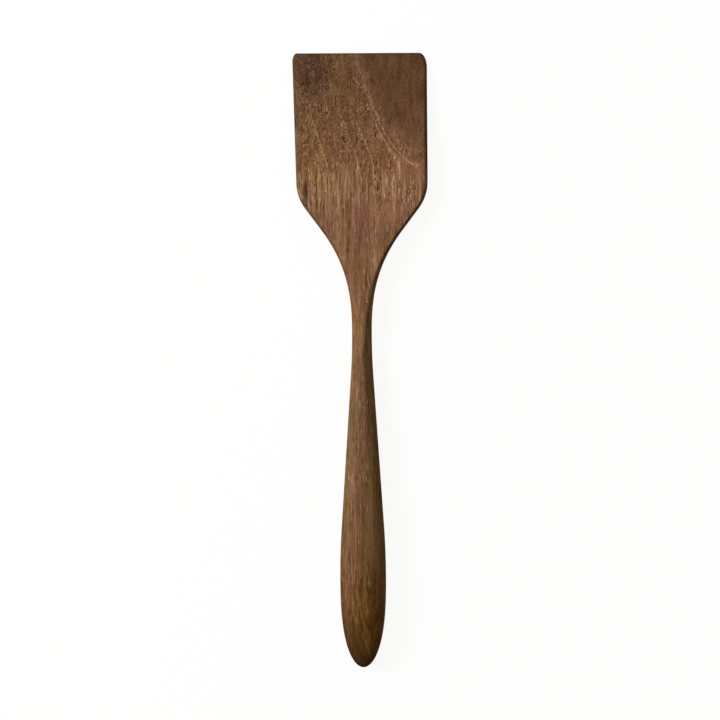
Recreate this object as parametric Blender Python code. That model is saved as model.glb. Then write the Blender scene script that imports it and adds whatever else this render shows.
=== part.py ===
"""A wooden turner: the flat kitchen spatula with a square-ended blade and a teardrop grip.

The real one is a single piece of hardwood. It is sawn from a board to its outline,
planed to its side profile, and then rounded over with a rasp and sandpaper until the
flat blade runs into the round handle without a joint. It has no ferrule, rivet or hole.

Lengths are in metres. The turner lies on its back on z = 0, with +Y towards the tip and
+Z up, and the origin is the middle of its box, on the surface it lies on. A place along
it is measured from the tip towards the butt.
"""

import math

import bmesh
import bpy

# The blade seen from above
BLADE_LENGTH = 0.0696
TIP_WIDTH = 0.0726
BLADE_ROOT_WIDTH = 0.0706
BLADE_OFFSET = 0.0004
BLADE_LEAN = 0.001
LEFT_CORNER_RADIUS = 0.0026
RIGHT_CORNER_RADIUS = 0.0042

# The shoulders: a round corner, a short straight, and a long sweep that slackens into the neck
SHOULDER_RADIUS = 0.0236
SHOULDER_ANGLE = math.radians(36.7)
SWEEP_LENGTH = 0.0556
SWEEP_FULLNESS = 2.55

# The handle seen from above
NECK_WIDTH = 0.0106
GRIP_WIDTH = 0.0246
NECK_TO_GRIP = 0.1306
NECK_EASE = 0.0218
GRIP_EASE = 0.0272
BUTT_LENGTH = 0.0482
BUTT_FULLNESS = 2.6

# The side profile
TIP_THICKNESS = 0.0022
BEVEL_LENGTH = 0.064
BEVEL_EASE = 0.010
SHOULDER_THICKNESS = 0.009
NECK_THICKNESS = 0.0104
NECK_LIFT = 0.0008
GRIP_THICKNESS = 0.017
PROFILE_EASE = 0.030

# The rounded edges: a fullness of 2 is a true round, and a lower one is nearer a chamfer
TIP_ROUNDING = 0.0009
BLADE_TOP_ROUNDING = 0.0022
BLADE_UNDER_ROUNDING = 0.0012
NECK_ROUNDING = 0.0038
ROUND_OUT_LENGTH = 0.013
SOFTENING_LENGTH = 0.045
ROUNDING_LIMIT_SHARE = 0.95
BLADE_EDGE_FULLNESS = 2.0
NECK_EDGE_FULLNESS = 1.3
GRIP_EDGE_FULLNESS = 2.0

# How finely the surface is drawn
CORNER_STEPS = 7
FACE_STEPS = 4
TIP_STATIONS = 10
BEVEL_STATIONS = 7
EASE_STATIONS = 6
SHOULDER_STATIONS = 9
SWEEP_STATIONS = 14
ROUND_OUT_STATIONS = 5
HANDLE_STATIONS = 19
BUTT_STATIONS = 15

WOOD_COLOUR = (0.168, 0.084, 0.040, 1.0)
WOOD_ROUGHNESS = 0.5


def shoulder_fit():
    """Radius of each shoulder's corner, and the runs of its straight and its sweep."""
    drop = (BLADE_ROOT_WIDTH - NECK_WIDTH) / 2
    corner_drop = SHOULDER_RADIUS * (1 - math.cos(SHOULDER_ANGLE))
    sweep_drop = SWEEP_LENGTH * SHOULDER_SLOPE / SWEEP_FULLNESS
    fit_share = min(1, drop / (corner_drop + sweep_drop))
    straight_drop = drop - (corner_drop + sweep_drop) * fit_share
    return SHOULDER_RADIUS * fit_share, straight_drop / SHOULDER_SLOPE, SWEEP_LENGTH * fit_share


SHOULDER_SLOPE = math.tan(SHOULDER_ANGLE)
CORNER_RADIUS, STRAIGHT_RUN, SWEEP_RUN = shoulder_fit()
CORNER_RUN = CORNER_RADIUS * math.sin(SHOULDER_ANGLE)
NECK_PLACE = BLADE_LENGTH + CORNER_RUN + STRAIGHT_RUN + SWEEP_RUN
GRIP_PLACE = NECK_PLACE + NECK_TO_GRIP
OVERALL_LENGTH = GRIP_PLACE + BUTT_LENGTH


def arc_drop(radius, distance):
    """How far a circle falls away from its tangent at a distance along it."""
    return radius - math.sqrt(max(radius ** 2 - distance ** 2, 0))


def eased_rise(distance, run, rise, start_ease, end_ease):
    """A straight rise over a run, with parabolas easing it in and out of the level."""
    slope = rise / (run - (start_ease + end_ease) / 2)
    distance = min(max(distance, 0), run)
    left = run - distance
    if distance < start_ease:
        return slope * distance ** 2 / (2 * start_ease)
    if left < end_ease:
        return rise - slope * left ** 2 / (2 * end_ease)
    return slope * (distance - start_ease / 2)


def butt_share(place):
    """Share of the grip's section that is left at a place on the domed butt."""
    along_share = min(max((place - GRIP_PLACE) / BUTT_LENGTH, 0), 1)
    return math.sqrt(1 - along_share ** BUTT_FULLNESS)


def half_width(place, corner_radius):
    """Half the width at a place, for the side whose tip corner has this radius."""
    if place < BLADE_LENGTH:
        along_share = place / BLADE_LENGTH
        width = TIP_WIDTH + (BLADE_ROOT_WIDTH - TIP_WIDTH) * along_share
        return width / 2 - arc_drop(corner_radius, max(corner_radius - place, 0))
    if place < NECK_PLACE:
        past_blade = place - BLADE_LENGTH
        before_neck = NECK_PLACE - place
        if past_blade < CORNER_RUN:
            return BLADE_ROOT_WIDTH / 2 - arc_drop(CORNER_RADIUS, past_blade)
        sweep_share = min(before_neck / SWEEP_RUN, 1)
        sweep = SWEEP_RUN * SHOULDER_SLOPE / SWEEP_FULLNESS * sweep_share ** SWEEP_FULLNESS
        return NECK_WIDTH / 2 + sweep + max(before_neck - SWEEP_RUN, 0) * SHOULDER_SLOPE
    growth = (GRIP_WIDTH - NECK_WIDTH) / 2
    width = NECK_WIDTH / 2 + eased_rise(place - NECK_PLACE, NECK_TO_GRIP, growth, NECK_EASE, GRIP_EASE)
    return width * butt_share(place)


def middle(place):
    """How far to the right the middle lies: the blade is set over a little, and leans to the left."""
    run = NECK_PLACE - BLADE_LENGTH
    offset = BLADE_OFFSET - eased_rise(place - BLADE_LENGTH, run, BLADE_OFFSET, run / 2, run / 2)
    return offset - BLADE_LEAN * max(1 - place / BLADE_LENGTH, 0)


def heights(place):
    """Height of the underside and of the top at a place, before the tip's edge is rounded."""
    neck_top = NECK_LIFT + NECK_THICKNESS
    bevel = eased_rise(place, BEVEL_LENGTH, SHOULDER_THICKNESS - TIP_THICKNESS, 0, BEVEL_EASE)
    shoulder = eased_rise(place - BEVEL_LENGTH, NECK_PLACE - BEVEL_LENGTH,
                          neck_top - SHOULDER_THICKNESS, PROFILE_EASE, PROFILE_EASE)
    handle = eased_rise(place - NECK_PLACE, NECK_TO_GRIP,
                        GRIP_THICKNESS - neck_top, PROFILE_EASE, PROFILE_EASE)
    lift = eased_rise(place - BLADE_LENGTH - CORNER_RUN, STRAIGHT_RUN + SWEEP_RUN,
                      NECK_LIFT, PROFILE_EASE, 0)
    fall = eased_rise(place - NECK_PLACE, NECK_TO_GRIP, NECK_LIFT, 0, PROFILE_EASE)
    top = TIP_THICKNESS + bevel + shoulder + handle
    under = lift - fall
    axis = (top + under) / 2
    half = (top - under) / 2 * butt_share(place)
    return axis - half, axis + half


def mixed(near, far, share):
    return near + (far - near) * share


def edge_rounding(place, blade_rounding, widest, tallest):
    """Width, depth and fullness of an edge's rounding at a place.

    It is small and round on the blade and grows into broad soft chamfers on the neck. Just
    past the neck these meet in a blunt ridge, which then softens into the oval of the grip.
    """
    to_neck = eased_rise(place - BLADE_LENGTH, NECK_PLACE - BLADE_LENGTH, 1,
                         NECK_PLACE - BLADE_LENGTH, 0)
    to_ridge = eased_rise(place - NECK_PLACE, ROUND_OUT_LENGTH, 1,
                          ROUND_OUT_LENGTH / 2, ROUND_OUT_LENGTH / 2)
    to_oval = eased_rise(place - NECK_PLACE, SOFTENING_LENGTH, 1, SOFTENING_LENGTH, 0)
    across = min(mixed(blade_rounding, NECK_ROUNDING, to_neck), widest)
    deep = mixed(min(across, tallest), tallest, to_neck)
    fullness = mixed(BLADE_EDGE_FULLNESS, NECK_EDGE_FULLNESS, to_neck)
    return mixed(across, widest, to_ridge), deep, mixed(fullness, GRIP_EDGE_FULLNESS, to_oval)


def rounded_corner(edge, level, outward, upward, rounding):
    """Points of one rounded corner, from the side of the section to its top or underside."""
    across, deep, fullness = rounding
    points = []
    for step in range(CORNER_STEPS + 1):
        angle = math.pi / 2 * step / CORNER_STEPS
        out_share = 1 - max(math.cos(angle), 0) ** (2 / fullness)
        up_share = 1 - max(math.sin(angle), 0) ** (2 / fullness)
        points.append((edge - outward * across * out_share, level - upward * deep * up_share))
    return points


def flat_face(start, end, level):
    """Points along a flat face, without its two ends."""
    return [(mixed(start, end, step / FACE_STEPS), level) for step in range(1, FACE_STEPS)]


def section(place):
    """Points round the turner at a place: a rounded rectangle on the blade, an oval on the grip."""
    left = middle(place) - half_width(place, LEFT_CORNER_RADIUS)
    right = middle(place) + half_width(place, RIGHT_CORNER_RADIUS)
    under, top = heights(place)
    tip_drop = arc_drop(TIP_ROUNDING, max(TIP_ROUNDING - place, 0))
    under += tip_drop
    top -= tip_drop
    widest = (right - left) / 2 * ROUNDING_LIMIT_SHARE
    tallest = (top - under) / 2 * ROUNDING_LIMIT_SHARE
    top_edge = edge_rounding(place, BLADE_TOP_ROUNDING, widest, tallest)
    under_edge = edge_rounding(place, BLADE_UNDER_ROUNDING, widest, tallest)
    points = []
    points += rounded_corner(right, top, 1, 1, top_edge)
    points += flat_face(right - top_edge[0], left + top_edge[0], top)
    points += reversed(rounded_corner(left, top, -1, 1, top_edge))
    points += rounded_corner(left, under, -1, -1, under_edge)
    points += flat_face(left + under_edge[0], right - under_edge[0], under)
    points += reversed(rounded_corner(right, under, 1, -1, under_edge))
    return points


def spread(start, end, count):
    """Places at even steps after the start, up to and with the end."""
    return [start + (end - start) * step / count for step in range(1, count + 1)]


def stations():
    """Places of the sections, close together where the form turns fast."""
    widest_corner = max(LEFT_CORNER_RADIUS, RIGHT_CORNER_RADIUS)
    places = [widest_corner * (1 - math.cos(math.pi / 2 * step / TIP_STATIONS))
              for step in range(TIP_STATIONS + 1)]
    places += spread(widest_corner, BEVEL_LENGTH - BEVEL_EASE, BEVEL_STATIONS)
    places += spread(BEVEL_LENGTH - BEVEL_EASE, BLADE_LENGTH, EASE_STATIONS)
    places += spread(BLADE_LENGTH, BLADE_LENGTH + CORNER_RUN, SHOULDER_STATIONS)
    places += spread(BLADE_LENGTH + CORNER_RUN, NECK_PLACE, SWEEP_STATIONS)
    places += spread(NECK_PLACE, NECK_PLACE + ROUND_OUT_LENGTH, ROUND_OUT_STATIONS)
    places += spread(NECK_PLACE + ROUND_OUT_LENGTH, GRIP_PLACE, HANDLE_STATIONS)
    places += [GRIP_PLACE + BUTT_LENGTH * math.sin(math.pi / 2 * step / BUTT_STATIONS)
               for step in range(1, BUTT_STATIONS)]
    return places


def loft(mesh, rings, end_point):
    """Skin a row of rings, with a flat face on the first and a fan to a point past the last."""
    form = bmesh.new()
    loops = [[form.verts.new(point) for point in ring] for ring in rings]
    form.faces.new(loops[0])
    for near, far in zip(loops, loops[1:]):
        for index in range(len(near)):
            form.faces.new((near[index - 1], near[index], far[index], far[index - 1]))
    pole = form.verts.new(end_point)
    for index in range(len(loops[-1])):
        form.faces.new((loops[-1][index - 1], loops[-1][index], pole))
    bmesh.ops.recalc_face_normals(form, faces=form.faces)
    form.to_mesh(mesh)
    form.free()


def wood_material():
    material = bpy.data.materials.new("oiled_hardwood")
    material.use_nodes = True
    shader = material.node_tree.nodes["Principled BSDF"]
    shader.inputs["Base Color"].default_value = WOOD_COLOUR
    shader.inputs["Roughness"].default_value = WOOD_ROUGHNESS
    shader.inputs["Metallic"].default_value = 0
    material.diffuse_color = WOOD_COLOUR
    return material


def build_spatula():
    """The whole turner, lofted from tip to butt and set on the middle of its box."""
    places = stations()
    edges = [(middle(place) - half_width(place, LEFT_CORNER_RADIUS),
              middle(place) + half_width(place, RIGHT_CORNER_RADIUS)) for place in places]
    centre = (min(edge[0] for edge in edges) + max(edge[1] for edge in edges)) / 2
    rings = [[(across - centre, OVERALL_LENGTH / 2 - place, up) for across, up in section(place)]
             for place in places]
    butt_under, butt_top = heights(OVERALL_LENGTH)
    pole = (-centre, -OVERALL_LENGTH / 2, (butt_under + butt_top) / 2)
    mesh = bpy.data.meshes.new("spatula")
    loft(mesh, rings, pole)
    mesh.shade_smooth()
    mesh.set_sharp_from_angle(angle=math.radians(35))
    mesh.materials.append(wood_material())
    return bpy.data.objects.new("spatula", mesh)


for old in list(bpy.data.objects):
    bpy.data.objects.remove(old)

turner = bpy.data.collections.new("wooden_turner")
bpy.context.scene.collection.children.link(turner)
turner.objects.link(build_spatula())
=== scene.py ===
import math

import bmesh
import bpy
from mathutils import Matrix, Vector


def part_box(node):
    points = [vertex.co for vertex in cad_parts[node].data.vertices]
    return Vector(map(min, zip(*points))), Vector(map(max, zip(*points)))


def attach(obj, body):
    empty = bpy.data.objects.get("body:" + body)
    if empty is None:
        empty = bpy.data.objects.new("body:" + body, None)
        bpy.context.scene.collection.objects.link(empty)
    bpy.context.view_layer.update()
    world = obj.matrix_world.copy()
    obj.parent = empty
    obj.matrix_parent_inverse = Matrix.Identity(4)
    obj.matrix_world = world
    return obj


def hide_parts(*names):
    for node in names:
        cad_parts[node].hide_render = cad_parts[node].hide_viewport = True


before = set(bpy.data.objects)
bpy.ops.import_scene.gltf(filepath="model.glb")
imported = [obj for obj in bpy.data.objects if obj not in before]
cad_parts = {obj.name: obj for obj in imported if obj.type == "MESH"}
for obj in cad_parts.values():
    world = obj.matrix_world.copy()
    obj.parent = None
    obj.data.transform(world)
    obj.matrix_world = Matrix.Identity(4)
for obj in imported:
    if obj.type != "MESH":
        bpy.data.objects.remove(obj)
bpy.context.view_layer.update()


# The turner is a single piece of dark open-pored hardwood. It is sawn to its outline, planed to
# its side profile, rounded over by hand and rubbed with oil, so one skin runs from the tip of
# the blade to the butt of the grip. Places along it are measured from the tip.

# The blade from above: a slight taper, a lean to the left, and two unlike corners at the tip
BLADE_LENGTH = 0.0696
TIP_WIDTH = 0.0726
BLADE_ROOT_WIDTH = 0.0706
BLADE_OFFSET = 0.0004
BLADE_LEAN = 0.001
LEFT_CORNER_WIDTH = 0.0026
LEFT_CORNER_REACH = 0.0046
RIGHT_CORNER_WIDTH = 0.0042
RIGHT_CORNER_REACH = 0.0078

# Each shoulder: a round corner, a short straight, and a long sweep that slackens into the neck
NECK_WIDTH = 0.0106
SHOULDER_RADIUS = 0.0236
SHOULDER_ANGLE = math.radians(36.7)
SHOULDER_SLOPE = math.tan(SHOULDER_ANGLE)
SHOULDER_RUN = SHOULDER_RADIUS * math.sin(SHOULDER_ANGLE)
SHOULDER_DROP = SHOULDER_RADIUS * (1 - math.cos(SHOULDER_ANGLE))
SWEEP_LENGTH = 0.0556
SWEEP_FULLNESS = 2.55
SWEEP_DROP = SWEEP_LENGTH * SHOULDER_SLOPE / SWEEP_FULLNESS
STRAIGHT_RUN = ((BLADE_ROOT_WIDTH - NECK_WIDTH) / 2 - SHOULDER_DROP - SWEEP_DROP) / SHOULDER_SLOPE
NECK_PLACE = BLADE_LENGTH + SHOULDER_RUN + STRAIGHT_RUN + SWEEP_LENGTH

# The handle from above: it swells from the neck to the grip and ends in a domed butt
GRIP_WIDTH = 0.0246
NECK_TO_GRIP = 0.1306
NECK_EASE = 0.0218
GRIP_EASE = 0.0272
GRIP_PLACE = NECK_PLACE + NECK_TO_GRIP
BUTT_LENGTH = 0.0482
BUTT_FULLNESS = 2.6
OVERALL_LENGTH = GRIP_PLACE + BUTT_LENGTH


def corner_fall(radius, distance):
    """How far a rounded corner falls back from its edge at a distance along it."""
    return radius - math.sqrt(max(radius ** 2 - distance ** 2, 0))


def planed_rise(distance, run, rise, start_ease, end_ease):
    """A straight rise over a run, eased into the level at its start and its end."""
    slope = rise / (run - (start_ease + end_ease) / 2)
    distance = min(max(distance, 0), run)
    left = run - distance
    if distance < start_ease:
        return slope * distance ** 2 / (2 * start_ease)
    if left < end_ease:
        return rise - slope * left ** 2 / (2 * end_ease)
    return slope * (distance - start_ease / 2)


def part_way(near, far, share):
    """The value that lies a share of the way from the near one to the far one."""
    return near + (far - near) * share


def butt_share(place):
    """Share of the grip's section that is left at a place on the domed butt."""
    along_share = min(max((place - GRIP_PLACE) / BUTT_LENGTH, 0), 1)
    return math.sqrt(1 - along_share ** BUTT_FULLNESS)


def half_width(place, corner_width, corner_reach):
    """Half the turner's width at a place, on the side that has this tip corner."""
    if place < BLADE_LENGTH:
        width = part_way(TIP_WIDTH, BLADE_ROOT_WIDTH, place / BLADE_LENGTH)
        return width / 2 - corner_fall(corner_width, corner_width * max(1 - place / corner_reach, 0))
    if place < NECK_PLACE:
        before_neck = NECK_PLACE - place
        if place - BLADE_LENGTH < SHOULDER_RUN:
            return BLADE_ROOT_WIDTH / 2 - corner_fall(SHOULDER_RADIUS, place - BLADE_LENGTH)
        sweep = SWEEP_DROP * min(before_neck / SWEEP_LENGTH, 1) ** SWEEP_FULLNESS
        return NECK_WIDTH / 2 + sweep + max(before_neck - SWEEP_LENGTH, 0) * SHOULDER_SLOPE
    growth = (GRIP_WIDTH - NECK_WIDTH) / 2
    width = NECK_WIDTH / 2 + planed_rise(place - NECK_PLACE, NECK_TO_GRIP, growth, NECK_EASE, GRIP_EASE)
    return width * butt_share(place)


def middle_line(place):
    """How far right of the handle's line the middle lies at a place."""
    run = NECK_PLACE - BLADE_LENGTH
    offset = BLADE_OFFSET - planed_rise(place - BLADE_LENGTH, run, BLADE_OFFSET, run / 2, run / 2)
    return offset - BLADE_LEAN * max(1 - place / BLADE_LENGTH, 0)


def side_edges(place):
    """The left and the right edge of the outline at a place."""
    left = middle_line(place) - half_width(place, LEFT_CORNER_WIDTH, LEFT_CORNER_REACH)
    return left, middle_line(place) + half_width(place, RIGHT_CORNER_WIDTH, RIGHT_CORNER_REACH)


# The side profile: a flat back under the blade, a long bevel on top of it, a neck that is lifted
# a little off the table, and a grip that is thickest where it is widest
TIP_THICKNESS = 0.0022
BEVEL_LENGTH = 0.064
BEVEL_EASE = 0.010
SHOULDER_THICKNESS = 0.009
NECK_THICKNESS = 0.0104
NECK_LIFT = 0.0008
NECK_TOP = NECK_LIFT + NECK_THICKNESS
GRIP_THICKNESS = 0.017
PROFILE_EASE = 0.030


def heights(place):
    """Height of the underside and of the top at a place, before the tip's edge is rounded."""
    top = TIP_THICKNESS
    top += planed_rise(place, BEVEL_LENGTH, SHOULDER_THICKNESS - TIP_THICKNESS, 0, BEVEL_EASE)
    top += planed_rise(place - BEVEL_LENGTH, NECK_PLACE - BEVEL_LENGTH,
                       NECK_TOP - SHOULDER_THICKNESS, PROFILE_EASE, PROFILE_EASE)
    top += planed_rise(place - NECK_PLACE, NECK_TO_GRIP, GRIP_THICKNESS - NECK_TOP,
                       PROFILE_EASE, PROFILE_EASE)
    under = planed_rise(place - BLADE_LENGTH - SHOULDER_RUN, STRAIGHT_RUN + SWEEP_LENGTH,
                        NECK_LIFT, PROFILE_EASE, 0)
    under -= planed_rise(place - NECK_PLACE, NECK_TO_GRIP, NECK_LIFT, 0, PROFILE_EASE)
    axis = (top + under) / 2
    half = (top - under) / 2 * butt_share(place)
    return axis - half, axis + half


# The edges: small rounds on the blade, broad soft chamfers on the neck that meet in a blunt
# ridge, and a full oval on the grip. The fullness of a true round is 2, and a chamfer's is less.
TIP_ROUNDING = 0.0009
BLADE_TOP_ROUNDING = 0.0022
BLADE_UNDER_ROUNDING = 0.0012
NECK_ROUNDING = 0.0038
ROUND_OUT_LENGTH = 0.013
SOFTENING_LENGTH = 0.045
ROUNDING_LIMIT_SHARE = 0.95
ROUND_FULLNESS = 2
NECK_EDGE_FULLNESS = 1.3
EDGE_STEPS = 20
FACE_STEPS = 28


def edge_rounding(place, blade_rounding, widest, tallest):
    """Width, depth and fullness of an edge's rounding at a place."""
    to_neck = planed_rise(place - BLADE_LENGTH, NECK_PLACE - BLADE_LENGTH, 1,
                          NECK_PLACE - BLADE_LENGTH, 0)
    to_ridge = planed_rise(place - NECK_PLACE, ROUND_OUT_LENGTH, 1,
                           ROUND_OUT_LENGTH / 2, ROUND_OUT_LENGTH / 2)
    to_oval = planed_rise(place - NECK_PLACE, SOFTENING_LENGTH, 1, SOFTENING_LENGTH, 0)
    across = min(part_way(blade_rounding, NECK_ROUNDING, to_neck), widest)
    deep = part_way(min(across, tallest), tallest, to_neck)
    fullness = part_way(ROUND_FULLNESS, NECK_EDGE_FULLNESS, to_neck)
    return part_way(across, widest, to_ridge), deep, part_way(fullness, ROUND_FULLNESS, to_oval)


def rounded_edge(edge, level, outward, upward, rounding):
    """Points round one edge, from the side of the section to its top or underside."""
    across, deep, fullness = rounding
    points = []
    for step in range(EDGE_STEPS + 1):
        angle = math.pi / 2 * step / EDGE_STEPS
        out_share = 1 - max(math.cos(angle), 0) ** (2 / fullness)
        up_share = 1 - max(math.sin(angle), 0) ** (2 / fullness)
        points.append((edge - outward * across * out_share, level - upward * deep * up_share))
    return points


def flat_face(start, end, level):
    """Points along a flat face, without its two ends."""
    return [(part_way(start, end, step / FACE_STEPS), level) for step in range(1, FACE_STEPS)]


def cross_section(place):
    """Points round the turner at a place: flat-faced on the blade, an oval on the grip."""
    left, right = side_edges(place)
    under, top = heights(place)
    tip_fall = corner_fall(TIP_ROUNDING, max(TIP_ROUNDING - place, 0))
    under += tip_fall
    top -= tip_fall
    widest = (right - left) / 2 * ROUNDING_LIMIT_SHARE
    tallest = (top - under) / 2 * ROUNDING_LIMIT_SHARE
    top_edge = edge_rounding(place, BLADE_TOP_ROUNDING, widest, tallest)
    under_edge = edge_rounding(place, BLADE_UNDER_ROUNDING, widest, tallest)
    points = rounded_edge(right, top, 1, 1, top_edge)
    points += flat_face(right - top_edge[0], left + top_edge[0], top)
    points += reversed(rounded_edge(left, top, -1, 1, top_edge))
    points += rounded_edge(left, under, -1, -1, under_edge)
    points += flat_face(left + under_edge[0], right - under_edge[0], under)
    points += reversed(rounded_edge(right, under, 1, -1, under_edge))
    return points


# The skin: the rim of the tip's face is drawn out from station to station, and gathered into a
# point at the end of the butt. The stations crowd together where the form turns fast.
STATION_STEP = 0.0009
TIP_STATIONS = 24
BUTT_STATIONS = 60

corner_end = max(LEFT_CORNER_REACH, RIGHT_CORNER_REACH)
stations = [corner_end * (1 - math.cos(math.pi / 2 * step / TIP_STATIONS))
            for step in range(TIP_STATIONS + 1)]
body_steps = round((GRIP_PLACE - corner_end) / STATION_STEP)
stations += [part_way(corner_end, GRIP_PLACE, step / body_steps) for step in range(1, body_steps + 1)]
stations += [GRIP_PLACE + BUTT_LENGTH * math.sin(math.pi / 2 * step / BUTT_STATIONS)
             for step in range(1, BUTT_STATIONS)]

low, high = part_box("spatula")
tip_end = high.y
left_most = min(side_edges(place)[0] for place in stations)
right_most = max(side_edges(place)[1] for place in stations)
handle_line = (low.x + high.x - left_most - right_most) / 2

form = bmesh.new()
bmesh.ops.create_circle(form, segments=len(cross_section(stations[0])), radius=TIP_WIDTH / 2)
rim = list(form.verts)
rim_edges = list(form.edges)


def shape_rim(rim, place):
    """Move the points of a rim to the turner's section at a place."""
    for vert, (across, up) in zip(rim, cross_section(place)):
        vert.co = (handle_line + across, tip_end - place, up)


shape_rim(rim, stations[0])
bmesh.ops.contextual_create(form, geom=rim_edges)
for place in stations[1:]:
    drawn = bmesh.ops.extrude_edge_only(form, edges=rim_edges)["geom"]
    rim_edges = [part for part in drawn if isinstance(part, bmesh.types.BMEdge)]
    rim_edges = [edge for edge in rim_edges if len(edge.link_faces) == 1]
    drawn_verts = {part for part in drawn if isinstance(part, bmesh.types.BMVert)}
    rim = [next(edge.other_vert(vert) for edge in vert.link_edges if edge.other_vert(vert) in drawn_verts)
           for vert in rim]
    shape_rim(rim, place)
butt_under, butt_top = heights(OVERALL_LENGTH)
butt_point = (handle_line, tip_end - OVERALL_LENGTH, (butt_under + butt_top) / 2)
bmesh.ops.pointmerge(form, verts=rim, merge_co=butt_point)
bmesh.ops.recalc_face_normals(form, faces=form.faces)
mesh = bpy.data.meshes.new("turner_body")
form.to_mesh(mesh)
form.free()
mesh.shade_smooth()
turner = bpy.data.objects.new("turner_body", mesh)
bpy.context.scene.collection.objects.link(turner)


# The wood is one solid pattern that runs through the whole piece, so each face shows what its
# own cut lays bare. Its places are in millimetres. The next few functions add one step each to
# the wood's pattern, and take fixed values or the results of other steps.
MILLIMETRES = 1000.0

wood = bpy.data.materials.new("oiled_hardwood")
wood.use_nodes = True
grain = wood.node_tree
finish = grain.nodes["Principled BSDF"]


def feed_grain(socket, term):
    """Join a step's result to a socket, or set a fixed value or colour on it."""
    if isinstance(term, bpy.types.NodeSocket):
        grain.links.new(term, socket)
    elif socket.type == "RGBA":
        socket.default_value = (*term, 1.0)
    else:
        socket.default_value = term


def grain_value(operation, *terms):
    """One step of arithmetic on numbers."""
    node = grain.nodes.new("ShaderNodeMath")
    node.operation = operation
    for socket, term in zip(node.inputs, terms):
        feed_grain(socket, term)
    return node.outputs[0]


def grain_plus(*terms):
    """The sum of all the terms."""
    total = terms[0]
    for term in terms[1:]:
        total = grain_value("ADD", total, term)
    return total


def grain_less(whole, part):
    """The whole less the part."""
    return grain_value("SUBTRACT", whole, part)


def grain_times(*terms):
    """The product of all the terms."""
    product = terms[0]
    for term in terms[1:]:
        product = grain_value("MULTIPLY", product, term)
    return product


def grain_vector(operation, *terms):
    """One step of arithmetic on places."""
    node = grain.nodes.new("ShaderNodeVectorMath")
    node.operation = operation
    for socket, term in zip(node.inputs, terms):
        feed_grain(socket, term)
    return node.outputs["Value" if operation == "LENGTH" else "Vector"]


def grain_point(across, along, up):
    """A place put together from its three parts."""
    node = grain.nodes.new("ShaderNodeCombineXYZ")
    for socket, term in zip(node.inputs, (across, along, up)):
        feed_grain(socket, term)
    return node.outputs[0]


def grain_parts(place):
    """The three parts of a place, or of a direction."""
    node = grain.nodes.new("ShaderNodeSeparateXYZ")
    feed_grain(node.inputs[0], place)
    return node.outputs


def fade_by(value, limits, shares=(0.0, 1.0)):
    """Fade smoothly from the first share to the second while a value goes between its limits."""
    node = grain.nodes.new("ShaderNodeMapRange")
    node.interpolation_type = "SMOOTHSTEP"
    for name, term in zip(("Value", "From Min", "From Max", "To Min", "To Max"),
                          (value, *limits, *shares)):
        feed_grain(node.inputs[name], term)
    return node.outputs[0]


def wood_figure(place, size, seed, detail=2.0, roughness=0.5):
    """A random figure from 0 to 1, of this size across the grain, along it and with depth."""
    node = grain.nodes.new("ShaderNodeTexNoise")
    offset = grain_vector("DIVIDE", place, size)
    feed_grain(node.inputs["Vector"], grain_vector("ADD", offset, (seed, seed * 1.7, seed * 2.3)))
    node.inputs["Scale"].default_value = 1.0
    node.inputs["Detail"].default_value = detail
    node.inputs["Roughness"].default_value = roughness
    return node.outputs[0]


coordinates = grain.nodes.new("ShaderNodeTexCoord")
wood_place = grain_vector("MULTIPLY", coordinates.outputs["Object"], (MILLIMETRES,) * 3)
across, along, up = grain_parts(wood_place)
from_line = grain_less(across, handle_line * MILLIMETRES)
from_tip = grain_less(tip_end * MILLIMETRES, along)
facing_right, facing_tip = grain_parts(coordinates.outputs["Normal"])[:2]
facing_side = grain_value("ABSOLUTE", facing_right)
facing_end = grain_value("ABSOLUTE", facing_tip)


def fade_along(places, shares=(0.0, 1.0)):
    """Fade between two places along the turner, in millimetres from the tip."""
    return fade_by(from_tip, places, shares)


on_bevel = fade_along((74.0, 58.0))
at_break = grain_times(fade_along((60.0, 67.0)), fade_along((91.0, 79.0)))

# Depth is counted down from the crest of the turner. The figure changes fast with it on the
# blade, so that the bevel cuts the figure short, and more slowly on the handle.
neck_rise = fade_along((BEVEL_LENGTH * MILLIMETRES, NECK_PLACE * MILLIMETRES),
                       (0.0, (NECK_TOP - SHOULDER_THICKNESS) * MILLIMETRES))
grip_rise = fade_along((NECK_PLACE * MILLIMETRES, GRIP_PLACE * MILLIMETRES),
                       (0.0, (GRIP_THICKNESS - NECK_TOP) * MILLIMETRES))
crest = grain_plus(SHOULDER_THICKNESS * MILLIMETRES, grain_plus(neck_rise, grip_rise))
depth = grain_less(crest, up)
depth_share = grain_less(fade_along((74.0, 112.0), (1.0, 0.3)),
                         fade_along((240.0, 290.0), (0.0, 0.2)))
cut_place = grain_point(across, along, grain_times(depth, depth_share))

# Small curls turn the fibres aside, by the three parts of one random colour. They are strongest
# on the bevel, calm where the bevel ends, and slighter on the handle.
BLADE_CURL = 2.4
HANDLE_CURL = 1.5
CALM_AT_BREAK = 1.3
BLADE_DEPTH_CURL = 0.6
HANDLE_DEPTH_CURL = 0.35
curl = wood_figure(cut_place, size=(2.6, 5.0, 0.4), seed=0.0).node.outputs["Color"]
curl_shift = grain_vector("SUBTRACT", curl, (0.5, 0.5, 0.5))
curl_across = grain_less(fade_along((80.0, 150.0), (BLADE_CURL, HANDLE_CURL)),
                         grain_times(at_break, CALM_AT_BREAK))
curl_down = fade_along((80.0, 150.0), (BLADE_DEPTH_CURL, HANDLE_DEPTH_CURL))
curl_reach = grain_point(curl_across, 0.0, curl_down)
curled = grain_vector("ADD", cut_place, grain_vector("MULTIPLY", curl_shift, curl_reach))

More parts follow.
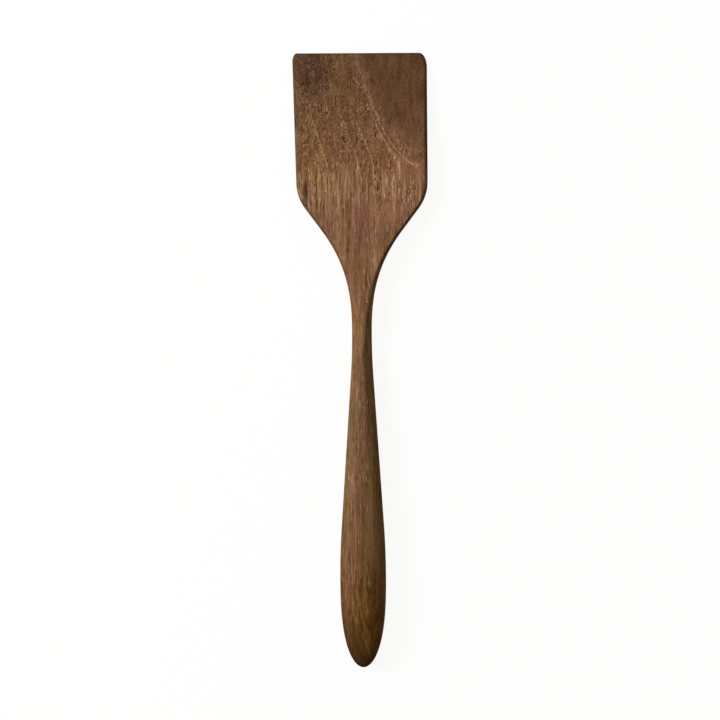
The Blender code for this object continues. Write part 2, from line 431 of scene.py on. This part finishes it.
# The growth rings arch over a line near the blade's right edge, a tenth closer together on its
# right. The shallow bevel cuts them into wide arcs. Along the handle the rings grow upright, and
# towards the butt they lean the other way.
PITH_RIGHT = 29.6
RIGHT_RINGS = 1.1
SWAY = 2.4
WOBBLE = 1.8
RING_CURL = 1.3
RING_SPREAD = 158.0
RING_SPREAD_GROWTH = 3.4
RING_CORE = 18.0
sway = grain_less(wood_figure(wood_place, size=(28.0, 70.0, 30.0), seed=3.1), 0.5)
wobble = grain_less(wood_figure(wood_place, size=(5.0, 12.0, 3.0), seed=7.7), 0.5)
from_pith = grain_less(handle_line * MILLIMETRES + PITH_RIGHT, across)
from_pith = grain_value("MAXIMUM", from_pith, grain_times(from_pith, -RIGHT_RINGS))
from_pith = grain_plus(from_pith, grain_plus(grain_times(sway, SWAY), grain_times(wobble, WOBBLE)),
                       grain_times(grain_parts(curl_shift)[0], RING_CURL))
ring_arch = fade_along((85.0, 290.0), (1.0, -0.9))


def ring_number(spread):
    """Which ring a place lies in: 0 at the crest over the pith's line, and less under it."""
    square = grain_less(grain_times(from_pith, from_pith), grain_times(spread, depth, ring_arch))
    softened = grain_plus(grain_value("ABSOLUTE", square), RING_CORE ** 2)
    number = grain_less(grain_value("SQRT", softened), RING_CORE)
    return grain_times(grain_value("SIGN", square), number)


outer_ring = grain_value("MAXIMUM", ring_number(RING_SPREAD), 0.0)
ring = ring_number(grain_plus(RING_SPREAD, grain_times(outer_ring, RING_SPREAD_GROWTH)))
ring_place = grain_point(ring, grain_times(along, 0.02), grain_times(depth, 0.1))
bands = wood_figure(ring_place, size=(4.5, 1.0, 1.0), seed=1.3)
fine_bands = wood_figure(ring_place, size=(1.3, 1.0, 1.0), seed=5.9)

# Streaks, fibres, pores and pale flecks run along the grain, with swirls among them. The fibres
# are finest on the bevel. The strokes are pale ones where the bevel ends. The glints are painted
# highlights: small bright specks only on the handle's left flank, the side that faces the lamp.
streaks = wood_figure(curled, size=(2.4, 60.0, 1.2), seed=2.2)
fibre_length = grain_plus(fade_along((120.0, 180.0), (14.0, 8.0)),
                          fade_along((235.0, 270.0), (0.0, 4.0)))
long_fibres = wood_figure(curled, size=grain_point(0.70, fibre_length, 0.17), seed=4.4, roughness=0.6)
bevel_fibres = wood_figure(curled, size=(0.50, 14.0, 0.17), seed=6.4, roughness=0.6)
fibres = grain_plus(grain_times(bevel_fibres, on_bevel),
                    grain_times(long_fibres, grain_less(1.0, on_bevel)))
pores = fade_by(wood_figure(curled, size=(0.45, 7.0, 0.11), seed=8.8, detail=1.0), (0.58, 0.70))
flecks = fade_by(wood_figure(curled, size=(0.52, 8.0, 0.12), seed=12.6, detail=1.0), (0.58, 0.72))
swirl = wood_figure(curled, size=(1.8, 12.0, 0.22), seed=31.0, detail=1.0)
pale_swirl = fade_by(grain_value("ABSOLUTE", grain_less(swirl, 0.46)), (0.022, 0.0))
dark_swirl = fade_by(grain_value("ABSOLUTE", grain_less(swirl, 0.56)), (0.022, 0.0))
strokes = fade_by(wood_figure(curled, size=(0.95, 20.0, 0.4), seed=40.2, detail=1.0), (0.48, 0.62))
strokes = grain_times(grain_less(strokes, 0.3), at_break)
# Painted highlights: bright specks kept to the handle's lamp-facing left flank
painted_glints = fade_by(wood_figure(curled, size=(0.5, 1.4, 0.5), seed=61.7, detail=1.0), (0.66, 0.74))
painted_glints = grain_times(painted_glints, grain_times(fade_by(facing_right, (-0.35, -0.7)),
                                         fade_along((150.0, 175.0))))

# The bevel lays bare a pale dotted arch round a smooth dark patch on the blade's right. Four
# more pale arcs cross the half of the bevel away from the tip, with dark dots beside them. Each
# pair below is the number of a ring and half the width of its line.
ARCH_RING = -0.25
PALE_RINGS = ((1.9, 0.55), (11.1, 0.6), (17.7, 0.55), (33.6, 0.6))
DARK_RINGS = ((-1.1, 0.6), (9.9, 0.6), (16.5, 0.55), (32.4, 0.6))


def ring_line(number, half_line):
    """A line that follows one ring."""
    away = grain_value("ABSOLUTE", grain_less(ring, number))
    return fade_by(away, (half_line, 0.0))


def ring_lines(rings):
    """The lines of several rings together."""
    lines = ring_line(*rings[0])
    for number, half_line in rings[1:]:
        lines = grain_value("MAXIMUM", lines, ring_line(number, half_line))
    return lines


before_break = fade_along((72.0, 62.0))
arch_width = grain_plus(fade_by(from_line, (12.0, 26.0), (0.7, 0.22)),
                        fade_along((42.0, 12.0), (0.0, 1.1)))
arch = grain_times(ring_line(ARCH_RING, arch_width), fade_along((2.0, 40.0), (0.55, 1.0)),
                   fade_by(from_line, (34.5, 27.0), (0.3, 1.0)), before_break)
arc_band = grain_times(fade_along((29.0, 40.0)), before_break)
pale_dots = fade_by(wood_figure(curled, size=(0.8, 2.0, 0.20), seed=15.2, detail=1.0), (0.38, 0.54))
dark_dots = fade_by(wood_figure(curled, size=(0.8, 2.0, 0.20), seed=19.2, detail=1.0), (0.44, 0.58))
arcs = grain_times(grain_value("MAXIMUM", arch, grain_times(ring_lines(PALE_RINGS), arc_band)), pale_dots)
dark_arcs = grain_times(ring_lines(DARK_RINGS), arc_band, dark_dots)
patch = grain_times(fade_by(ring, (-1.5, -7.5)), fade_along((70.0, 55.0)))
off_patch = grain_less(1.0, grain_times(patch, 0.5))

# A dark mineral stain lies in the tip's left corner, full of swirls
MINERAL_PLACE = (-27.0, 9.0, 0.0)
MINERAL_REACH = (14.5, 18.0, 1.0)
MINERAL_SWIRLS = 1.8


def stain_distance(place, centre, reach):
    """How far a place lies from the centre of a stain, where 1 is the stain's edge."""
    away = grain_vector("DIVIDE", grain_vector("SUBTRACT", place, centre), reach)
    return grain_vector("LENGTH", away)


mineral = fade_by(stain_distance(grain_point(from_line, from_tip, 0.0), MINERAL_PLACE, MINERAL_REACH),
                  (1.0, 0.3))
swirl_share = grain_plus(grain_times(on_bevel, off_patch), grain_times(mineral, MINERAL_SWIRLS))

# A pale line slants across the butt, and the wood on its left is smoother and darker
SLANT_PLACE = 314.0
SLANT_SLOPE = 0.366
slant = grain_times(grain_less(from_tip, SLANT_PLACE), SLANT_SLOPE)
from_slant = grain_less(from_line, slant)
left_of_slant = grain_times(fade_by(from_slant, (0.3, -1.2)), fade_along((302.0, 311.0)))
butt_line = grain_times(fade_by(grain_value("ABSOLUTE", from_slant), (1.1, 0.2)),
                        grain_times(fade_along((299.0, 306.0)), fade_along((327.0, 320.0))))

# How strongly the rings, streaks and fibres show from place to place
ring_share = grain_plus(grain_less(1.0, grain_times(on_bevel, 0.6)),
                        fade_along((270.0, 305.0), (0.0, 0.4)))
streak_share = grain_less(fade_along((120.0, 170.0), (1.0, 0.72)),
                          fade_along((270.0, 305.0), (0.0, 0.35)))
patchy = fade_by(wood_figure(wood_place, size=(5.0, 12.0, 2.0), seed=51.3, detail=1.0),
                 (0.35, 0.65), (0.6, 1.4))
lively = grain_plus(fade_along((90.0, 68.0), (0.68, 1.0)), fade_along((240.0, 300.0), (0.0, 0.25)))
shaded_grip = grain_times(fade_by(facing_right, (0.05, 0.5)), fade_along((235.0, 265.0), (0.0, 0.4)))
fibre_share = grain_times(patchy, lively, fade_along((105.0, 150.0), (1.0, 1.08)),
                          grain_plus(1.0, grain_times(on_bevel, 0.12)), off_patch,
                          grain_less(1.0, shaded_grip),
                          grain_less(1.0, grain_times(left_of_slant, 0.5)))
pore_share = grain_times(fibre_share, grain_less(1.0, grain_times(on_bevel, 0.45)))
fleck_share = grain_times(fibre_share, fade_along((225.0, 265.0), (1.0, 0.6)))

# The tone of the wood, from 0 for the darkest to 1 for the palest. Each layer makes it paler
# or, where its strength is below nothing, darker.
MIDDLE_TONE = 0.5
BAND_STRENGTH = 0.28
FINE_BAND_STRENGTH = 0.25
STREAK_STRENGTH = 0.55
STROKE_STRENGTH = 0.17
PAINTED_GLINT_STRENGTH = 0.3
FIBRE_STRENGTH = 1.0
PORE_STRENGTH = -0.13
FLECK_STRENGTH = 0.35
ARC_STRENGTH = 0.42
DARK_ARC_STRENGTH = -0.15
PALE_SWIRL_STRENGTH = 0.25
DARK_SWIRL_STRENGTH = -0.14
tone_layers = (
    (grain_times(ring_share, grain_less(bands, 0.5)), BAND_STRENGTH),
    (grain_times(ring_share, grain_less(fine_bands, 0.5)), FINE_BAND_STRENGTH),
    (grain_times(streak_share, grain_less(streaks, 0.5)), STREAK_STRENGTH),
    (strokes, STROKE_STRENGTH),
    # painted highlights on the lamp side of the handle
    (painted_glints, PAINTED_GLINT_STRENGTH),
    (grain_times(fibre_share, grain_less(fibres, 0.5)), FIBRE_STRENGTH),
    (grain_less(grain_times(pore_share, pores), 0.1), PORE_STRENGTH),
    (grain_less(grain_times(fleck_share, flecks), 0.1), FLECK_STRENGTH),
    (arcs, ARC_STRENGTH),
    (dark_arcs, DARK_ARC_STRENGTH),
    (grain_less(grain_times(swirl_share, pale_swirl), 0.15), PALE_SWIRL_STRENGTH),
    (grain_less(grain_times(swirl_share, dark_swirl), 0.15), DARK_SWIRL_STRENGTH),
)
tone = MIDDLE_TONE
for layer, strength in tone_layers:
    tone = grain_plus(tone, grain_times(layer, strength))

# The colours of the wood from its darkest tone to its palest, as levels on a screen
WOOD_SHADES = ((46, 26, 10), (91, 58, 34), (135, 95, 67), (165, 124, 96), (196, 156, 129))
PATCH_SHADE = (88, 53, 29)
PATCH_STRENGTH = 0.36


def wood_shade(*levels):
    """The light that a colour gives back, from its red, green and blue levels on a screen."""
    shares = [level / 255 for level in levels]
    return tuple(share / 12.92 if share < 0.04045 else ((share + 0.055) / 1.055) ** 2.4
                 for share in shares)


def blend_shades(shade, other, share, blend="MIX"):
    """Blend the second shade over the first."""
    node = grain.nodes.new("ShaderNodeMix")
    node.data_type = "RGBA"
    node.blend_type = blend
    feed_grain(node.inputs[0], share)
    feed_grain(node.inputs[6], shade)
    feed_grain(node.inputs[7], other)
    return node.outputs[2]


def tint_wood(colour, tint, share=1.0):
    """Tint the wood by a share. A tint of 1 keeps a red, green or blue, less dulls, more lifts."""
    return blend_shades(colour, tint, share, "MULTIPLY")


palette = grain.nodes.new("ShaderNodeValToRGB")
while len(palette.color_ramp.elements) < len(WOOD_SHADES):
    palette.color_ramp.elements.new(1.0)
for step, (element, levels) in enumerate(zip(palette.color_ramp.elements, WOOD_SHADES)):
    element.position = step / (len(WOOD_SHADES) - 1)
    element.color = (*wood_shade(*levels), 1.0)
feed_grain(palette.inputs[0], tone)
colour = blend_shades(palette.outputs[0], wood_shade(*PATCH_SHADE), grain_times(patch, PATCH_STRENGTH))

# The hue wanders between a yellower and a rosier brown, in broad patches and in fine streaks
hue = fade_by(wood_figure(wood_place, size=(7.0, 26.0, 6.0), seed=21.4), (0.35, 0.65))
colour = tint_wood(colour, blend_shades((1.0, 1.01, 0.91), (1.0, 0.98, 1.03), hue))
fine_hue = fade_by(wood_figure(cut_place, size=(1.9, 34.0, 1.4), seed=27.4, detail=1.0), (0.38, 0.62))
colour = tint_wood(colour, blend_shades((0.97, 1.02, 0.92), (1.03, 0.98, 1.06), fine_hue),
                   fade_along((70.0, 150.0), (0.4, 1.0)))

# The stains and the paler patches. Each has its place to the right of the handle's line and past
# the tip, its reach across, along and down into the wood, its tint, and its strength.
MINERAL_TINT = (0.59, 0.57, 0.63)
LEFT_OF_SLANT_TINT = (0.76, 0.73, 0.62)
BUTT_LINE_TINT = (1.36, 1.46, 2.0)
THROUGH = 100.0
STAINS = (
    # The bevel: its greyer left edge, and a darker strip at its end on the left
    (-35.0, 34.0, (7.0, 13.0, THROUGH), (0.84, 0.84, 0.86), 0.9),
    (-14.0, 60.0, (26.0, 6.0, THROUGH), (0.90, 0.89, 0.86), 0.9),
    # The paler right shoulder
    (18.0, 82.5, (20.0, 15.0, THROUGH), (1.15, 1.17, 1.20), 0.9),
    # The butt: a paler streak down the middle, and a darker left flank
    (1.6, 300.0, (4.6, 22.0, THROUGH), (1.20, 1.20, 1.22), 0.9),
    (-7.5, 294.0, (5.0, 18.0, THROUGH), (0.90, 0.89, 0.88), 0.9),
    # Two paler streaks on the grip
    (-3.0, 257.0, (3.4, 14.0, THROUGH), (1.12, 1.11, 1.12), 0.9),
    (5.0, 256.0, (4.0, 22.0, THROUGH), (1.10, 1.10, 1.12), 0.9),
    # The left side: a paler stretch by the knot, a yellower edge, yellower wood on the bevel,
    # and warmer wood round the knot
    (-20.0, 74.5, (12.0, 9.0, THROUGH), (1.07, 1.13, 1.12), 0.9),
    (-33.0, 74.0, (5.5, 26.0, 6.0), (0.96, 1.0, 0.74), 0.9),
    (-27.0, 50.0, (16.0, 26.0, 30.0), (0.98, 1.0, 0.89), 1.0),
    (-27.6, 72.0, (4.0, 8.0, 3.0), (1.0, 0.94, 0.86), 0.6),
    # The pale rim on the knot's left, the small knot, and a dark spot past it
    (-33.4, 75.8, (2.2, 6.0, 6.0), (1.28, 1.50, 1.75), 0.9),
    (-30.1, 74.8, (2.5, 8.6, 3.0), (0.40, 0.42, 0.56), 1.0),
    (-22.6, 88.1, (2.0, 4.0, 3.0), (0.62, 0.68, 0.86), 0.9),
    # The shoulders and the neck: a darker left sweep, and two purplish streaks in the middle
    (-18.0, 102.0, (8.0, 14.0, THROUGH), (0.92, 0.93, 0.95), 0.9),
    (0.0, 90.8, (4.5, 19.0, 5.0), (0.84, 0.80, 0.92), 0.8),
    (0.4, 134.5, (2.0, 8.5, 5.0), (0.66, 0.58, 0.74), 0.9),
    # An orange patch on the bevel, and the darker right flank above the neck
    (6.8, 41.0, (6.0, 3.6, THROUGH), (1.16, 1.06, 0.93), 0.9),
    (6.3, 121.0, (2.6, 10.0, THROUGH), (0.88, 0.83, 0.80), 0.9),
    # The grip: a rosy band and a pale one on its left, and a dark streak down its middle
    (-4.6, 252.0, (5.2, 60.0, THROUGH), (1.10, 1.04, 1.20), 1.0),
    (-3.9, 280.0, (2.4, 50.0, THROUGH), (1.19, 1.17, 1.17), 0.9),
    (0.2, 254.0, (3.0, 32.0, THROUGH), (0.84, 0.83, 0.82), 0.9),
)
colour = tint_wood(colour, MINERAL_TINT, mineral)
for right, past_tip, reach, tint, strength in STAINS:
    centre = (handle_line * MILLIMETRES + right, tip_end * MILLIMETRES - past_tip, 0.0)
    share = fade_by(stain_distance(curled, centre, reach), (1.0, 0.25))
    colour = tint_wood(colour, tint, grain_times(share, strength))
colour = tint_wood(colour, LEFT_OF_SLANT_TINT, left_of_slant)
colour = tint_wood(colour, BUTT_LINE_TINT, butt_line)

# Faces that cut across the fibres drink the oil and go dark, most on the shoulders and the ends.
# On the blade the sides are made darker as well. The steepest sides are painted a little yellower
# too, with the deeper hue that the flank turned from the lamp shows in shade.
END_DARKENING = (1.4, 2.2)
SIDE_DARKENING = 0.75
STEEP_SIDE_SHADE_HUE = (0.97, 0.97, 0.72)
end_cut = grain_times(facing_end, fade_along((60.0, 90.0), END_DARKENING))
blade_side_dimming = grain_times(facing_side, fade_along((90.0, 70.0), (0.0, SIDE_DARKENING)))
kept_light = grain_times(grain_value("DIVIDE", 1.0, grain_plus(1.0, end_cut)),
                         grain_value("DIVIDE", 1.0, grain_plus(1.0, blade_side_dimming)))
colour = tint_wood(colour, grain_point(kept_light, kept_light, kept_light))
steepness = fade_by(facing_side, (0.66, 0.97))
# Painted shade hue: steep sides take the yellower brown of the shaded flank
colour = tint_wood(colour, STEEP_SIDE_SHADE_HUE, steepness)

# The colour also changes slowly from the tip to the butt. The bevel darkens towards the tip, the
# wood where the bevel ends is pale, and the handle grows deeper and yellower towards its end.
PAINTED_NECK_FLANK_TINT = (0.98, 0.95, 0.94)
TIP_TINT = (0.66, 0.65, 0.56)
BREAK_TINT = (1.07, 1.15, 1.17)
SHOULDER_TINT = (0.98, 1.0, 1.01)
HANDLE_TINT = (0.80, 0.865, 0.74)
BUTT_RED = 0.63
BUTT_GREEN = 0.48
BUTT_BLUE = (0.05, 0.26)
# Painted shade: the neck's left flank, the side that faces the lamp, is toned down a little
painted_neck_flank = grain_times(fade_by(facing_right, (-0.4, -0.8)),
                        grain_times(fade_along((92.0, 105.0)), fade_along((165.0, 135.0))))
colour = tint_wood(colour, PAINTED_NECK_FLANK_TINT, painted_neck_flank)
colour = tint_wood(colour, TIP_TINT, fade_along((76.0, 14.0)))
colour = tint_wood(colour, BREAK_TINT, grain_times(fade_along((63.0, 69.0)), fade_along((92.0, 78.0))))
colour = tint_wood(colour, SHOULDER_TINT, fade_along((80.0, 108.0)))
colour = tint_wood(colour, HANDLE_TINT, fade_along((130.0, 165.0)))
butt_tint = grain_point(BUTT_RED, BUTT_GREEN, fade_by(tone, (0.2, 0.75), BUTT_BLUE))
colour = tint_wood(colour, butt_tint, fade_along((230.0, 326.0)))
feed_grain(finish.inputs["Base Color"], colour)

# The oil leaves a dull satin. Fibres stand up from the surface by a hair and shine a little
# more, pores sink and stay rough, and the steep sides are sanded smooth.
ROUGH_PORE_SHARE = 0.4
ROUGHNESS = (0.82, 0.64)
SATIN_SHINE = 0.1
RELIEF_STRENGTH = 0.6
RELIEF_HEIGHT = 0.00004
polish = grain_less(fibres, grain_times(pores, ROUGH_PORE_SHARE))
feed_grain(finish.inputs["Roughness"], fade_by(polish, (0.2, 0.7), ROUGHNESS))
relief = grain.nodes.new("ShaderNodeBump")
relief.inputs["Strength"].default_value = RELIEF_STRENGTH
relief.inputs["Distance"].default_value = RELIEF_HEIGHT
feed_grain(relief.inputs["Height"],
           grain_times(grain_less(fibres, pores), grain_less(1.0, steepness)))
feed_grain(finish.inputs["Normal"], relief.outputs[0])
finish.inputs["Specular IOR Level"].default_value = SATIN_SHINE
mesh.materials.append(wood)

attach(turner, "root")
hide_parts("spatula")


# The table top that the turner lies on is a broad pale sheet just under it. It looks white to
# the camera, with a faint shadow of the turner, and sends a dull warm light back to the wood.

TABLE_SIZE = 12.0
TABLE_DROP = 0.0004
TABLE_BOUNCE = (0.29, 0.25, 0.14, 1.0)
TABLE_WHITE = (0.95, 0.95, 0.95, 1.0)
SHADOW_SHARE = 0.07

table_form = bmesh.new()
bmesh.ops.create_grid(table_form, x_segments=1, y_segments=1, size=TABLE_SIZE / 2)
bmesh.ops.translate(table_form, verts=table_form.verts, vec=(0, 0, -TABLE_DROP))
table_mesh = bpy.data.meshes.new("table_top")
table_form.to_mesh(table_mesh)
table_form.free()
table_top = bpy.data.objects.new("table_top", table_mesh)
bpy.context.scene.collection.objects.link(table_top)

table_paint = bpy.data.materials.new("table_white")
table_paint.use_nodes = True
paint = table_paint.node_tree
paint.nodes.clear()
ray = paint.nodes.new("ShaderNodeLightPath")
seen = ray.outputs["Is Camera Ray"]
for kind in ("Is Glossy Ray", "Is Transmission Ray"):
    either = paint.nodes.new("ShaderNodeMath")
    either.operation = "MAXIMUM"
    paint.links.new(seen, either.inputs[0])
    paint.links.new(ray.outputs[kind], either.inputs[1])
    seen = either.outputs[0]
bounce = paint.nodes.new("ShaderNodeBsdfDiffuse")
bounce.inputs["Color"].default_value = TABLE_BOUNCE
white = paint.nodes.new("ShaderNodeBsdfDiffuse")
white.inputs["Color"].default_value = TABLE_WHITE
glow = paint.nodes.new("ShaderNodeEmission")
shown = paint.nodes.new("ShaderNodeMixShader")
shown.inputs["Fac"].default_value = SHADOW_SHARE
paint.links.new(glow.outputs[0], shown.inputs[1])
paint.links.new(white.outputs[0], shown.inputs[2])
chosen = paint.nodes.new("ShaderNodeMixShader")
paint.links.new(seen, chosen.inputs["Fac"])
paint.links.new(bounce.outputs[0], chosen.inputs[1])
paint.links.new(shown.outputs[0], chosen.inputs[2])
out = paint.nodes.new("ShaderNodeOutputMaterial")
paint.links.new(chosen.outputs[0], out.inputs["Surface"])
table_mesh.materials.append(table_paint)


# The light is one soft square lamp, to the left of the turner and a little towards its tip. A
# dim warm room round it fills the shaded side, and the room looks white to the camera.

LAMP_SIZE = 1.2
LAMP_DISTANCE = 2.6
LAMP_HEIGHT_ANGLE = math.radians(38)
LAMP_TIP_ANGLE = math.radians(18)
LAMP_WATTS = 79.0
LAMP_COLOUR = (0.985, 1.0, 1.06)
ROOM_LIGHT = (0.30, 0.285, 0.21, 1.0)
ROOM_WHITE = (1.0, 1.0, 1.0, 1.0)

lamp_data = bpy.data.lights.new("soft_lamp", "AREA")
lamp_data.size = LAMP_SIZE
lamp_data.energy = LAMP_WATTS
lamp_data.color = LAMP_COLOUR
lamp = bpy.data.objects.new("soft_lamp", lamp_data)
bpy.context.scene.collection.objects.link(lamp)
toward_lamp = Vector((-math.cos(LAMP_HEIGHT_ANGLE) * math.cos(LAMP_TIP_ANGLE),
                      math.cos(LAMP_HEIGHT_ANGLE) * math.sin(LAMP_TIP_ANGLE),
                      math.sin(LAMP_HEIGHT_ANGLE)))
lamp.location = toward_lamp * LAMP_DISTANCE
lamp.rotation_euler = (-toward_lamp).to_track_quat("-Z", "Y").to_euler()

room = bpy.data.worlds.new("room")
room.use_nodes = True
bpy.context.scene.world = room
room_nodes = room.node_tree
backdrop = room_nodes.nodes["Background"]
room_ray = room_nodes.nodes.new("ShaderNodeLightPath")
room_colour = room_nodes.nodes.new("ShaderNodeMix")
room_colour.data_type = "RGBA"
room_colour.inputs[6].default_value = ROOM_LIGHT
room_colour.inputs[7].default_value = ROOM_WHITE
room_nodes.links.new(room_ray.outputs["Is Camera Ray"], room_colour.inputs[0])
room_nodes.links.new(room_colour.outputs[2], backdrop.inputs["Color"])


# The camera looks straight down on the turner through a long lens. It stands as far off and as
# far aside as sets the turner at the size and the place that it has in the photograph.

PHOTO_WIDTH = 720
TURNER_PIXELS = 615.3
HANDLE_LINE_PIXEL = 362.1
TIP_PIXEL = 52.0
PHOTO_TURN = math.radians(0.29)
LENS = 200
SENSOR = 36

camera_data = bpy.data.cameras.new("camera")
camera_data.lens = LENS
camera_data.sensor_width = SENSOR
camera = bpy.data.objects.new("camera", camera_data)
bpy.context.scene.collection.objects.link(camera)
pixel_size = OVERALL_LENGTH / TURNER_PIXELS
camera_height = PHOTO_WIDTH * pixel_size * LENS / SENSOR + SHOULDER_THICKNESS
camera.location = (handle_line - (HANDLE_LINE_PIXEL - PHOTO_WIDTH / 2) * pixel_size,
                   tip_end - (PHOTO_WIDTH / 2 - TIP_PIXEL) * pixel_size, camera_height)
camera.rotation_euler = (0, 0, -PHOTO_TURN)
bpy.context.scene.camera = camera
bpy.context.scene.view_settings.view_transform = "Standard"
